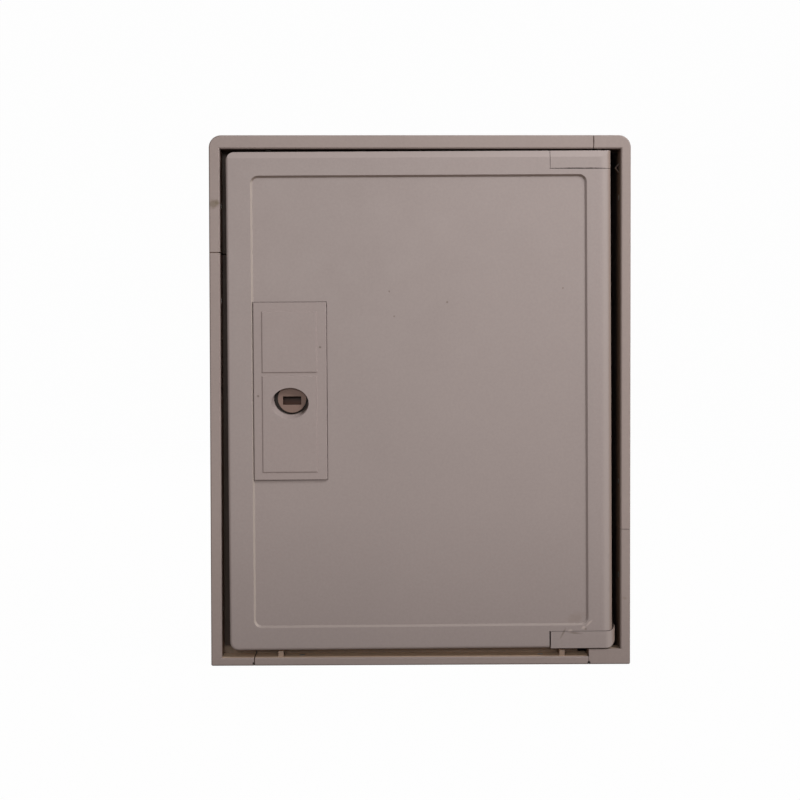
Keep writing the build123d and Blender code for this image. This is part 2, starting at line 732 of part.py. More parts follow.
with BuildPart() as lower_hinge_block:
    extrude(lower_block_outline(), amount=-block_depth)
    with BuildSketch(door_plane) as block_limit:
        with Locations((door_right + lower_block_proud, -door_top - lower_block_drop)):
            Rectangle(2 * lower_block_width, 2 * lower_block_height, align=(Align.MAX, Align.MIN))
        lower_corner = block_limit.vertices().sort_by(Axis((0, 0, 0), (1, -1, 0)))[-1]
        fillet(lower_corner, radius=door_corner_radius)
    extrude(amount=-block_depth, mode=Mode.INTERSECT)
    extrude(
        hinge_roll_waste(door_right + lower_block_proud),
        amount=door_height,
        both=True,
        mode=Mode.SUBTRACT,
    )
    with BuildSketch(Plane.XY.offset(door_bottom_at_hinge + pin_seat)):
        with Locations((hinge_x, hinge_y)):
            Circle(pin_radius)
    extrude(amount=-2 * pin_seat, mode=Mode.SUBTRACT)
    with BuildSketch(*block_screw_places(-1)):
        RegularPolygon(screw_radius + screw_fit, screw_sides)
    extrude(amount=-block_screw_length, mode=Mode.SUBTRACT)
lower_hinge_block.part.label = "lower_hinge_block"
export_step(lower_hinge_block.part, "parts/lower_hinge_block.step")

# Hinge pins: steel pins fast in the blocks, free in the rim's sockets
with BuildPart() as upper_hinge_pin:
    with BuildSketch(Plane.XY.offset(door_top_at_hinge - pin_seat)):
        with Locations((hinge_x, hinge_y)):
            Circle(pin_radius)
    extrude(amount=pin_seat + opening_top - door_top_at_hinge + pin_reach)
upper_hinge_pin.part.label = "upper_hinge_pin"
export_step(upper_hinge_pin.part, "parts/upper_hinge_pin.step")

with BuildPart() as lower_hinge_pin:
    with BuildSketch(Plane.XY.offset(door_bottom_at_hinge + pin_seat)):
        with Locations((hinge_x, hinge_y)):
            Circle(pin_radius)
    extrude(amount=socket_top - door_bottom_at_hinge - pin_reach - pin_seat)
lower_hinge_pin.part.label = "lower_hinge_pin"
export_step(lower_hinge_pin.part, "parts/lower_hinge_pin.step")


# Screws behind the door: pan heads on the hinge pockets and on the lock plate's ears
with BuildPart() as hinge_block_screws:
    with BuildSketch(*block_screw_places(1), *block_screw_places(-1)):
        RegularPolygon(screw_head_radius, screw_sides)
    extrude(amount=screw_head_height)
    with BuildSketch(*block_screw_places(1), *block_screw_places(-1)):
        RegularPolygon(screw_radius, screw_sides)
    extrude(amount=-block_screw_length)
hinge_block_screws.part.label = "hinge_block_screws"
export_step(hinge_block_screws.part, "parts/hinge_block_screws.step")

with BuildPart() as lock_plate_screws:
    with BuildSketch(*plate_screw_places()):
        RegularPolygon(screw_head_radius, screw_sides)
    extrude(amount=screw_head_height)
    with BuildSketch(*plate_screw_places()):
        RegularPolygon(screw_radius, screw_sides)
    extrude(amount=-plate_screw_length)
lock_plate_screws.part.label = "lock_plate_screws"
export_step(lock_plate_screws.part, "parts/lock_plate_screws.step")

# Lock plate: insert with two raised pads, a leaning oval dish and the lock barrel behind it
with BuildPart() as lock_plate:
    with BuildSketch(door_plane):
        with Locations((plate_x, plate_z)):
            Rectangle(plate_width, plate_height)
    extrude(amount=-plate_thickness)
    chamfer(lock_plate.faces().sort_by(Axis.Y)[0].edges(), length=plate_edge_chamfer)
    with BuildSketch(door_plane.offset(-plate_thickness)):
        with Locations((plate_x, plate_z)):
            Rectangle(plate_width, plate_height)
            Rectangle(
                plate_width - 2 * skirt_thickness,
                plate_height - 2 * skirt_thickness,
                mode=Mode.SUBTRACT,
            )
    extrude(amount=plate_thickness - ear_depth - ear_thickness)
    with BuildSketch(door_plane.offset(-ear_depth)):
        with Locations((plate_x, plate_z)):
            with GridLocations(2 * ear_x, 2 * ear_z, 2, 2):
                Rectangle(ear_reach, ear_width)
    extrude(amount=-ear_thickness)
    with BuildSketch(*plate_screw_places()):
        RegularPolygon(screw_radius + screw_fit, screw_sides)
    extrude(amount=-ear_thickness, mode=Mode.SUBTRACT)
    lower_pad_height = (
        plate_height - pad_top_margin - upper_pad_height - pad_spacing - pad_bottom_margin
    )
    plate_top = plate_z + plate_height / 2
    upper_pad_z = plate_top - pad_top_margin - upper_pad_height / 2
    lower_pad_z = upper_pad_z - (upper_pad_height + lower_pad_height) / 2 - pad_spacing
    with BuildSketch(door_plane):
        with Locations((plate_x + pad_shift, upper_pad_z)):
            Rectangle(pad_width, upper_pad_height)
        with Locations((plate_x + pad_shift, lower_pad_z)):
            Rectangle(pad_width, lower_pad_height)
    extrude(amount=pad_height, taper=pad_edge_angle)
    with BuildSketch(door_plane.offset(-plate_thickness)):
        with Locations((lock_x, lock_z)):
            Circle(seat_half_width + 2 * barrel_wall)
    extrude(amount=plate_thickness - seat_depth - plug_head - plug_seat_gap - barrel_wall)
    with BuildSketch(door_plane.offset(-plate_thickness)):
        with Locations((lock_x, lock_z)):
            Circle(barrel_radius)
    extrude(amount=plate_thickness + cam_clearance - cam_depth)
    with BuildSketch(door_plane.offset(pad_height)):
        with Locations((lock_x + dish_shift_x, lock_z + dish_shift_z)):
            Ellipse(dish_width / 2, dish_height / 2)
    with BuildSketch(door_plane.offset(-seat_depth)):
        with Locations((lock_x + seat_shift_x, lock_z)):
            Ellipse(seat_half_width, seat_half_height)
    loft(mode=Mode.SUBTRACT)
    with BuildSketch(door_plane.offset(-seat_depth)):
        with Locations((lock_x + seat_shift_x, lock_z)):
            Ellipse(seat_half_width, seat_half_height)
    extrude(amount=-plug_head - plug_seat_gap, mode=Mode.SUBTRACT)
    with BuildSketch(door_plane):
        with Locations((lock_x, lock_z)):
            Circle(plug_shaft_radius + plug_running_gap)
    extrude(amount=-cam_depth, mode=Mode.SUBTRACT)
lock_plate.part.label = "lock_plate"
export_step(lock_plate.part, "parts/lock_plate.step")

# Lock plug: round head with the key slot, shaft in the barrel, square end for the cam
with BuildPart() as lock_plug:
    with BuildSketch(door_plane.offset(-seat_depth)):
        with Locations((lock_x, lock_z)):
            Circle(plug_radius)
    extrude(amount=-plug_head)
    with BuildSketch(door_plane.offset(-seat_depth - plug_head)):
        with Locations((lock_x, lock_z)):
            Circle(plug_shaft_radius)
    extrude(amount=seat_depth + plug_head - cam_depth)
    with BuildSketch(door_plane.offset(-cam_depth)):
        with Locations((lock_x, lock_z)):
            Rectangle(cam_square, cam_square)
    extrude(amount=-cam_thickness)
    with BuildSketch(door_plane.offset(-seat_depth)):
        with Locations((lock_x, lock_z - key_slot_drop)):
            Rectangle(key_slot_width, key_slot_height)
    extrude(amount=-key_slot_depth, mode=Mode.SUBTRACT)
    with BuildSketch(door_plane.offset(-cam_depth - cam_thickness)):
        with Locations((lock_x, lock_z)):
            RegularPolygon(screw_radius + screw_fit, screw_sides)
    extrude(amount=plate_screw_length, mode=Mode.SUBTRACT)
lock_plug.part.label = "lock_plug"
export_step(lock_plug.part, "parts/lock_plug.step")

# Latch cam: flat steel arm that hangs down when open and turns behind the rim's lip to lock
with BuildPart() as latch_cam:
    with BuildSketch(door_plane.offset(-cam_depth)):
        with Locations((lock_x, lock_z)):
            Circle(cam_hub_radius)
        with Locations((lock_x, lock_z - cam_length)):
            Circle(cam_tip_radius)
        make_hull()
        with Locations((lock_x, lock_z)):
            Rectangle(cam_square + cam_square_fit, cam_square + cam_square_fit, mode=Mode.SUBTRACT)
    extrude(amount=-cam_thickness)
latch_cam.part.label = "latch_cam"
export_step(latch_cam.part, "parts/latch_cam.step")

# Cam washer and screw: hold the cam on the plug's square
with BuildPart() as cam_washer:
    with BuildSketch(door_plane.offset(-cam_depth - cam_thickness)):
        with Locations((lock_x, lock_z)):
            Circle(cam_washer_radius)
            RegularPolygon(screw_radius + screw_fit, screw_sides, mode=Mode.SUBTRACT)
    extrude(amount=-cam_washer_thickness)
cam_washer.part.label = "cam_washer"
export_step(cam_washer.part, "parts/cam_washer.step")

with BuildPart() as cam_screw:
    cam_screw_face = -cam_depth - cam_thickness - cam_washer_thickness
    with BuildSketch(door_plane.offset(cam_screw_face)):
        with Locations((lock_x, lock_z)):
            RegularPolygon(screw_head_radius, screw_sides)
    extrude(amount=-screw_head_height)
    with BuildSketch(door_plane.offset(cam_screw_face)):
        with Locations((lock_x, lock_z)):
            RegularPolygon(screw_radius, screw_sides)
    extrude(amount=plate_screw_length)
cam_screw.part.label = "cam_screw"
export_step(cam_screw.part, "parts/cam_screw.step")
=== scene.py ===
"""Gas meter box: looks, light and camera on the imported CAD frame."""
import math

import bmesh
import bpy
from mathutils import Matrix, Vector


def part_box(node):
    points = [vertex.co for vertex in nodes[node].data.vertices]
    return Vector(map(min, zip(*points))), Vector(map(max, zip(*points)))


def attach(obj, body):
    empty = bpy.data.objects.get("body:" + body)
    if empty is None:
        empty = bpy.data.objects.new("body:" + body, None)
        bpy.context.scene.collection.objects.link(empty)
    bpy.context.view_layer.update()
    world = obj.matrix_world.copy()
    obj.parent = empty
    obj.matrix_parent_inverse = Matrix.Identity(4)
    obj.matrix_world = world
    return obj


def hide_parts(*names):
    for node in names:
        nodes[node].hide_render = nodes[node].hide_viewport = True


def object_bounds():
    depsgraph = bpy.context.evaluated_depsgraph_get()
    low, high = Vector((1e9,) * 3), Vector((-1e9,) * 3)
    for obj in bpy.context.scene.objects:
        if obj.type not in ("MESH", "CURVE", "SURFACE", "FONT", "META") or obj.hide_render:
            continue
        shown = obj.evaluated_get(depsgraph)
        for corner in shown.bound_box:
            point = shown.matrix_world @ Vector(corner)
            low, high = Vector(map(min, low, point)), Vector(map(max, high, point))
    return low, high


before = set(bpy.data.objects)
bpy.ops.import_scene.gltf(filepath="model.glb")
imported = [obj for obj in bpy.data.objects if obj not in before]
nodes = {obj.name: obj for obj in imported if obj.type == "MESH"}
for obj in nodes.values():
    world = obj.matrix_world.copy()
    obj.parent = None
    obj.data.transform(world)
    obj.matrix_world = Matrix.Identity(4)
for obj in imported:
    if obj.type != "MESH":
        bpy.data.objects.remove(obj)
size_at_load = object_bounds()
scene = bpy.context.scene
scene.view_settings.view_transform = "Standard"

# Camera: a long lens in front of the door, a little left of the box's middle and above it,
# turned slightly right and down, and rolled by a trace.
camera_distance = 1.5
front_plane_y = -0.2115
view_width = 0.7593
pitch_down = math.radians(1.43)
yaw_right = math.radians(0.74)
roll = math.radians(0.12)
aim = Vector((-0.0196, front_plane_y, 0.0012))
camera_place = aim + camera_distance * Vector((-math.tan(yaw_right), -1.0, math.tan(pitch_down)))
camera_data = bpy.data.cameras.new("front_camera")
camera_data.sensor_width = 36.0
camera_data.lens = camera_data.sensor_width * camera_distance / view_width
camera = bpy.data.objects.new("front_camera", camera_data)
camera.location = camera_place
facing = (aim - camera_place).to_track_quat("-Z", "Y").to_matrix()
camera.rotation_euler = (facing @ Matrix.Rotation(-roll, 3, "Z")).to_euler()
scene.collection.objects.link(camera)
scene.camera = camera


# Light: one large soft window of light from the upper right, a low wide one far in front that reaches
# into the gap round the door, a soft one behind for the back, and an even room.
def area_light(name, place, target, width, height, watts, colour):
    """A rectangular light at one place, turned to a target."""
    data = bpy.data.lights.new(name, "AREA")
    data.shape = "RECTANGLE"
    data.size = width
    data.size_y = height
    data.energy = watts
    data.color = colour
    lamp = bpy.data.objects.new(name, data)
    lamp.location = place
    lamp.rotation_euler = (Vector(target) - Vector(place)).to_track_quat("-Z", "Y").to_euler()
    scene.collection.objects.link(lamp)


area_light("key_light", (0.98, -1.15, 1.12), (0.04, -0.2, 0.08), 0.5, 0.7, 18.1, (1.0, 0.98, 0.97))
area_light("front_light", (-0.1, -3.0, 0.58), (0.0, -0.2, 0.0), 1.2, 0.4, 15.5, (1.0, 0.96, 0.93))
area_light("rear_light", (-0.7, 2.4, 1.7), (0.0, 0.0, 0.0), 1.2, 0.8, 42.0, (1.0, 0.97, 0.95))
world = bpy.data.worlds.new("room")
world.use_nodes = True
world.node_tree.nodes["Background"].inputs["Color"].default_value = (1.0, 0.95, 0.92, 1.0)
world.node_tree.nodes["Background"].inputs["Strength"].default_value = 0.28
room_tree = world.node_tree
room_seen = room_tree.nodes.new("ShaderNodeBackground")
room_seen.inputs["Color"].default_value = (1.0, 1.0, 1.0, 1.0)
room_seen.inputs["Strength"].default_value = 1.0
room_path = room_tree.nodes.new("ShaderNodeLightPath")
room_mix = room_tree.nodes.new("ShaderNodeMixShader")
room_tree.links.new(room_path.outputs["Is Camera Ray"], room_mix.inputs["Fac"])
room_tree.links.new(room_tree.nodes["Background"].outputs["Background"], room_mix.inputs[1])
room_tree.links.new(room_seen.outputs["Background"], room_mix.inputs[2])
room_tree.links.new(room_mix.outputs["Shader"], room_tree.nodes["World Output"].inputs["Surface"])
scene.world = world

# Stage: a white floor under the box and a white wall behind it. The camera sees them as pure white
# with a trace of the box's shadow, and they light the box like pale paint.
white_share = 0.985
stage_material = bpy.data.materials.new("white_stage")
stage_material.use_nodes = True
stage_tree = stage_material.node_tree
stage_tree.nodes.clear()
stage_paint = stage_tree.nodes.new("ShaderNodeBsdfDiffuse")
stage_paint.inputs["Color"].default_value = (0.45, 0.42, 0.40, 1.0)
stage_glow = stage_tree.nodes.new("ShaderNodeEmission")
stage_glow.inputs["Color"].default_value = (1.0, 1.0, 1.0, 1.0)
stage_glow.inputs["Strength"].default_value = 1.0
stage_seen = stage_tree.nodes.new("ShaderNodeMixShader")
stage_seen.inputs["Fac"].default_value = white_share
stage_tree.links.new(stage_paint.outputs["BSDF"], stage_seen.inputs[1])
stage_tree.links.new(stage_glow.outputs["Emission"], stage_seen.inputs[2])
stage_path = stage_tree.nodes.new("ShaderNodeLightPath")
stage_by_ray = stage_tree.nodes.new("ShaderNodeMixShader")
stage_tree.links.new(stage_path.outputs["Is Camera Ray"], stage_by_ray.inputs["Fac"])
stage_tree.links.new(stage_paint.outputs["BSDF"], stage_by_ray.inputs[1])
stage_tree.links.new(stage_seen.outputs["Shader"], stage_by_ray.inputs[2])
stage_output = stage_tree.nodes.new("ShaderNodeOutputMaterial")
stage_tree.links.new(stage_by_ray.outputs["Shader"], stage_output.inputs["Surface"])
floor_z = size_at_load[0].z
stage_reach = 4.0
stage_top = 4.0
for stage_name, half_run, lean, stage_middle in (
    ("floor", stage_reach, 0.0, (0.0, 0.0, floor_z)),
    ("backdrop", (stage_top - floor_z) / 2, math.pi / 2, (0.0, stage_reach, (stage_top + floor_z) / 2)),
):
    sheet = bmesh.new()
    bmesh.ops.create_grid(sheet, x_segments=1, y_segments=1, size=1.0)
    bmesh.ops.scale(sheet, verts=sheet.verts, vec=(stage_reach, half_run, 1.0))
    bmesh.ops.rotate(sheet, verts=sheet.verts, cent=(0.0, 0.0, 0.0), matrix=Matrix.Rotation(lean, 3, "X"))
    bmesh.ops.translate(sheet, verts=sheet.verts, vec=stage_middle)
    stage_mesh = bpy.data.meshes.new(stage_name)
    sheet.to_mesh(stage_mesh)
    sheet.free()
    stage_mesh.materials.append(stage_material)
    stage_object = bpy.data.objects.new(stage_name, stage_mesh)
    scene.collection.objects.link(stage_object)

# Moulded grain: what all the taupe mouldings share. Fine spark-eroded grain, a slow change of tone
# across each piece, a colour growing darker towards the ground and a little change of gloss, all in the
# object's own coordinates.
grain = bpy.data.node_groups.new("moulded_grain", "ShaderNodeTree")
grain.interface.new_socket("Colour", in_out="INPUT", socket_type="NodeSocketColor")
grain.interface.new_socket("Gloss", in_out="INPUT", socket_type="NodeSocketFloat")
grain.interface.new_socket("Colour", in_out="OUTPUT", socket_type="NodeSocketColor")
grain.interface.new_socket("Roughness", in_out="OUTPUT", socket_type="NodeSocketFloat")
grain.interface.new_socket("Normal", in_out="OUTPUT", socket_type="NodeSocketVector")
grain_in = grain.nodes.new("NodeGroupInput")
grain_out = grain.nodes.new("NodeGroupOutput")
grain_place = grain.nodes.new("ShaderNodeTexCoord").outputs["Object"]


def worked(tree, operation, *terms):
    """One step of arithmetic on sockets or numbers; returns its result."""
    step = tree.nodes.new("ShaderNodeMath")
    step.operation = operation
    for slot, term in zip(step.inputs, terms):
        if isinstance(term, float):
            slot.default_value = term
        else:
            tree.links.new(term, slot)
    return step.outputs["Value"]


def ramp(tree, value, start, end, low, high):
    """Goes from low to high while a value goes from start to end; high is a number or a socket."""
    step = tree.nodes.new("ShaderNodeMapRange")
    step.inputs["From Min"].default_value = start
    step.inputs["From Max"].default_value = end
    step.inputs["To Min"].default_value = low
    if isinstance(high, float):
        step.inputs["To Max"].default_value = high
    else:
        tree.links.new(high, step.inputs["To Max"])
    tree.links.new(value, step.inputs["Value"])
    return step.outputs["Result"]


def clouds(tree, place, scale, detail):
    """Soft noise at a place; returns its value."""
    noise = tree.nodes.new("ShaderNodeTexNoise")
    noise.inputs["Scale"].default_value = scale
    noise.inputs["Detail"].default_value = detail
    tree.links.new(place, noise.inputs["Vector"])
    return noise.outputs["Fac"]


noise_span = (0.3, 0.7)
slow_tone = ramp(grain, clouds(grain, grain_place, 5.0, 3.0), *noise_span, 0.975, 1.025)
fine_tone = ramp(grain, clouds(grain, grain_place, 420.0, 2.0), *noise_span, 0.975, 1.025)
grain_axes = grain.nodes.new("ShaderNodeSeparateXYZ")
grain.links.new(grain_place, grain_axes.inputs["Vector"])
# The colour grows darker towards the ground.
darker_to_ground = ramp(grain, grain_axes.outputs["Z"], -0.252, -0.10, 0.83, 1.0)
all_tones = worked(grain, "MULTIPLY", worked(grain, "MULTIPLY", slow_tone, fine_tone), darker_to_ground)
toned = grain.nodes.new("ShaderNodeVectorMath")
toned.operation = "SCALE"
grain.links.new(grain_in.outputs["Colour"], toned.inputs["Vector"])
grain.links.new(all_tones, toned.inputs["Scale"])
grain.links.new(toned.outputs["Vector"], grain_out.inputs["Colour"])
gloss_change = ramp(grain, clouds(grain, grain_place, 45.0, 4.0), *noise_span, -0.04, 0.04)
grain.links.new(worked(grain, "ADD", grain_in.outputs["Gloss"], gloss_change), grain_out.inputs["Roughness"])
soft_edges = grain.nodes.new("ShaderNodeBevel")
soft_edges.samples = 4
soft_edges.inputs["Radius"].default_value = 0.0005
grain_bump = grain.nodes.new("ShaderNodeBump")
grain_bump.inputs["Strength"].default_value = 0.25
grain_bump.inputs["Distance"].default_value = 0.0002
grain.links.new(soft_edges.outputs["Normal"], grain_bump.inputs["Normal"])
grain.links.new(clouds(grain, grain_place, 1100.0, 2.0), grain_bump.inputs["Height"])
grain.links.new(grain_bump.outputs["Normal"], grain_out.inputs["Normal"])


def moulded(name, colour, roughness):
    """A taupe plastic with the moulded grain, still to be painted; returns it and its colour so far."""
    material = bpy.data.materials.new(name)
    material.use_nodes = True
    links = material.node_tree.links
    shader = material.node_tree.nodes["Principled BSDF"]
    texture = material.node_tree.nodes.new("ShaderNodeGroup")
    texture.node_tree = grain
    texture.inputs["Colour"].default_value = (*colour, 1.0)
    texture.inputs["Gloss"].default_value = roughness
    links.new(texture.outputs["Roughness"], shader.inputs["Roughness"])
    links.new(texture.outputs["Normal"], shader.inputs["Normal"])
    return material, texture.outputs["Colour"]


def paint(material, colour):
    """Gives a material its colour."""
    tree = material.node_tree
    tree.links.new(colour, tree.nodes["Principled BSDF"].inputs["Base Color"])


def dress(material, *names):
    """Gives CAD pieces their material."""
    for name in names:
        nodes[name].data.materials.clear()
        nodes[name].data.materials.append(material)


# Round mark: a ragged spot at one place of the front, whatever its depth, for specks, stains, painted
# shadows and painted highlights; stretched and turned, it is a smear.
round_mark = bpy.data.node_groups.new("round_mark", "ShaderNodeTree")
round_mark.interface.new_socket("Place", in_out="INPUT", socket_type="NodeSocketVector")
for measure in ("Radius", "Length", "Turn", "Strength"):
    round_mark.interface.new_socket(measure, in_out="INPUT", socket_type="NodeSocketFloat")
round_mark.interface.new_socket("Mask", in_out="OUTPUT", socket_type="NodeSocketFloat")
mark_in = round_mark.nodes.new("NodeGroupInput")
mark_out = round_mark.nodes.new("NodeGroupOutput")
mark_place = round_mark.nodes.new("ShaderNodeTexCoord").outputs["Object"]
mark_offset = round_mark.nodes.new("ShaderNodeVectorMath")
mark_offset.operation = "SUBTRACT"
round_mark.links.new(mark_place, mark_offset.inputs[0])
round_mark.links.new(mark_in.outputs["Place"], mark_offset.inputs[1])
mark_turn = round_mark.nodes.new("ShaderNodeVectorRotate")
mark_turn.rotation_type = "Y_AXIS"
round_mark.links.new(mark_offset.outputs["Vector"], mark_turn.inputs["Vector"])
round_mark.links.new(mark_in.outputs["Turn"], mark_turn.inputs["Angle"])
mark_scale = round_mark.nodes.new("ShaderNodeCombineXYZ")
mark_scale.inputs["Z"].default_value = 1.0
round_mark.links.new(worked(round_mark, "DIVIDE", 1.0, mark_in.outputs["Length"]), mark_scale.inputs["X"])
mark_flat = round_mark.nodes.new("ShaderNodeVectorMath")
mark_flat.operation = "MULTIPLY"
round_mark.links.new(mark_turn.outputs["Vector"], mark_flat.inputs[0])
round_mark.links.new(mark_scale.outputs["Vector"], mark_flat.inputs[1])
mark_length = round_mark.nodes.new("ShaderNodeVectorMath")
mark_length.operation = "LENGTH"
round_mark.links.new(mark_flat.outputs["Vector"], mark_length.inputs[0])
mark_reach = worked(round_mark, "DIVIDE", mark_length.outputs["Value"], mark_in.outputs["Radius"])
mark_ragged = worked(round_mark, "ADD", mark_reach, clouds(round_mark, mark_place, 380.0, 2.0))
mark_fade = ramp(round_mark, mark_ragged, 1.6, 0.9, 0.0, mark_in.outputs["Strength"])
round_mark.links.new(mark_fade, mark_out.inputs["Mask"])


def mark(material, strength, x, z, radius, length, turn):
    """One mark, its length in radii and its turn in degrees up to the right; returns its mask."""
    spot = material.node_tree.nodes.new("ShaderNodeGroup")
    spot.node_tree = round_mark
    spot.inputs["Place"].default_value = (x, 0.0, z)
    spot.inputs["Radius"].default_value = radius
    spot.inputs["Length"].default_value = length
    spot.inputs["Turn"].default_value = math.radians(turn)
    spot.inputs["Strength"].default_value = strength
    return spot.outputs["Mask"]


def overlay(material, below, mask, colour):
    """Lays a colour over another one where a mask says; returns the new colour."""
    mix = material.node_tree.nodes.new("ShaderNodeMix")
    mix.data_type = "RGBA"
    mix.inputs[7].default_value = (*colour, 1.0)
    material.node_tree.links.new(mask, mix.inputs[0])
    if isinstance(below, tuple):
        mix.inputs[6].default_value = (*below, 1.0)
    else:
        material.node_tree.links.new(below, mix.inputs[6])
    return mix.outputs[2]


def spots(material, below, colour, strength, *places):
    """Lays marks over a colour, each given by x, z, radius, length and turn; returns the new colour."""
    for place in places:
        below = overlay(material, below, mark(material, strength, *place), colour)
    return below


# Gap shade and light: brown painted shade on the faces that stand in the gap between rim and door,
# near-black painted shade deep in it and on its underside, and pale painted light on the bottom ledge.
painted_gap_light = bpy.data.node_groups.new("painted_gap_light", "ShaderNodeTree")
for dirt_kind in ("Side", "Ledge", "Deep"):
    painted_gap_light.interface.new_socket(dirt_kind, in_out="OUTPUT", socket_type="NodeSocketFloat")
gap_light_out = painted_gap_light.nodes.new("NodeGroupOutput")


def place_and_facing(tree):
    """A surface's object coordinates and its normal, each as sockets X, Y and Z."""
    split = []
    for kind, output in (("ShaderNodeTexCoord", "Object"), ("ShaderNodeNewGeometry", "Normal")):
        axes = tree.nodes.new("ShaderNodeSeparateXYZ")
        tree.links.new(tree.nodes.new(kind).outputs[output], axes.inputs["Vector"])
        split.append(axes.outputs)
    return split


def past(tree, strength, *limits):
    """A mask of one strength where every socket is past its limit; each limit is a socket, the value
    where the mask starts and the value where it is full."""
    for value, start, full in limits:
        strength = ramp(tree, value, start, full, 0.0, strength)
    return strength


gap_place, gap_facing = place_and_facing(painted_gap_light)
from_middle_x = worked(painted_gap_light, "ABSOLUTE", gap_place["X"])
from_middle_z = worked(painted_gap_light, "ABSOLUTE", gap_place["Z"])
beyond_sides = (from_middle_x, 0.1797, 0.1818)
beyond_ends = (from_middle_z, 0.2325, 0.2345)
beyond_top = (gap_place["Z"], 0.2325, 0.2345)
inside_rim = ((from_middle_x, 0.1950, 0.1930), (from_middle_z, 0.2495, 0.2475))
below_front = (gap_place["Y"], -0.2080, -0.200)
facing_front = (gap_facing["Y"], -0.6, -0.9)
facing_up = (gap_facing["Z"], 0.6, 0.9)
facing_down = (gap_facing["Z"], -0.6, -0.9)
all_round = worked(painted_gap_light, "MAXIMUM",
                   past(painted_gap_light, 0.8, beyond_sides), past(painted_gap_light, 0.8, beyond_ends))
# Brown painted shade on the faces that stand in the gap.
side_shade = past(painted_gap_light, all_round, *inside_rim, below_front)
painted_gap_light.links.new(side_shade, gap_light_out.inputs["Side"])
# Pale painted light on the bottom ledge, most on faces that look up.
lit_ledge_faces = worked(painted_gap_light, "MAXIMUM", past(painted_gap_light, 1.0, facing_up), past(painted_gap_light, 0.28, facing_front))
at_the_foot = (gap_place["Z"], -0.2365, -0.239)
behind_edge = (gap_place["Y"], -0.2088, -0.2060)
ledge_light = past(painted_gap_light, lit_ledge_faces, at_the_foot, behind_edge)
painted_gap_light.links.new(ledge_light, gap_light_out.inputs["Ledge"])
# Near-black painted shade under the top rail and behind the door's edges.
under_top = past(painted_gap_light, 0.9, facing_down, (gap_place["Z"], 0.225, 0.235))
side_or_top = worked(painted_gap_light, "MAXIMUM",
                     past(painted_gap_light, 0.9, beyond_sides), past(painted_gap_light, 0.9, beyond_top))
behind_door = past(painted_gap_light, side_or_top, facing_front, *inside_rim)
deep_shade = past(painted_gap_light, worked(painted_gap_light, "MAXIMUM", under_top, behind_door), below_front)
painted_gap_light.links.new(deep_shade, gap_light_out.inputs["Deep"])


def paint_gap_light(material, below, side, ledge):
    """Lays the gap's painted shade and light over a colour: painted shade in one colour on sides and painted
    light in one colour on ledges, with the deep painted shade alike on every piece; returns the new colour."""
    # The group that gives the gap's painted shade and painted light.
    dirt = material.node_tree.nodes.new("ShaderNodeGroup")
    dirt.node_tree = painted_gap_light
    below = overlay(material, below, dirt.outputs["Side"], side)
    # Near-black painted shade deep in the gap.
    below = overlay(material, below, dirt.outputs["Deep"], (0.035, 0.018, 0.010))
    return overlay(material, below, dirt.outputs["Ledge"], ledge)


# Back box: one moulding of taupe plastic, matt inside and out, screwed to the wall through four
# holes, with an opening in the bottom for the pipe gland.
box_plastic, box_colour = moulded("box_plastic", (0.33, 0.265, 0.24), 0.6)
paint(box_plastic, box_colour)
dress(box_plastic, "back_box")

# Rim: five butted channel segments of the same plastic, a shade warmer than the door, pushed on the
# box's collar and held by countersunk screws; painted brown shade in the gap and painted light on its
# bottom ledge, a green-brown stain, a faint mark, two black dots of painted shadow in the seam nicks at
# the foot and pale painted highlights on the edges of the V-shaped lug by the upper hinge.
rim_plastic, rim_colour = moulded("rim_plastic", (0.352, 0.289, 0.271), 0.55)
# Painted brown shade in the gap and pale painted light on the bottom ledge.
rim_colour = paint_gap_light(rim_plastic, rim_colour, (0.22, 0.135, 0.085), (0.86, 0.66, 0.49))
rim_colour = spots(rim_plastic, rim_colour, (0.16, 0.12, 0.07), 0.6,
                   (-0.1960, 0.1870, 0.0050, 1.2, 0.0), (-0.1925, 0.1885, 0.0030, 1.0, 0.0))
rim_colour = spots(rim_plastic, rim_colour, (0.20, 0.15, 0.12), 0.35,
                   (0.1945, -0.1888, 0.0016, 1.6, 0.0))
# Two black dots: painted shadow in the seam nicks at the foot.
rim_colour = spots(rim_plastic, rim_colour, (0.010, 0.006, 0.005), 1.0,
                   (0.1606, -0.2503, 0.0018, 1.0, 0.0), (-0.1596, -0.2498, 0.0015, 1.0, 0.0))
# Pale painted highlights on the two edges of the V-shaped lug by the upper hinge.
rim_colour = spots(rim_plastic, rim_colour, (0.62, 0.54, 0.47), 0.7,
                   (0.1868, 0.2228, 0.0007, 4.0, 58.0), (0.1876, 0.2172, 0.0007, 6.0, -58.0))
paint(rim_plastic, rim_colour)
dress(rim_plastic, "rim_top_left", "rim_top_right", "rim_bottom_right", "rim_bottom", "rim_bottom_left")


# Seam dirt: brown crumbly dirt packed into the three seams of the rim that have opened, a little
# below the face.
def clouded(name, scale, detail, dark, pale):
    """A material that drifts between two colours; returns it and the clouds that it follows."""
    material = bpy.data.materials.new(name)
    material.use_nodes = True
    tree = material.node_tree
    cloud = clouds(tree, tree.nodes.new("ShaderNodeTexCoord").outputs["Object"], scale, detail)
    paint(material, overlay(material, dark, cloud, pale))
    return material, cloud


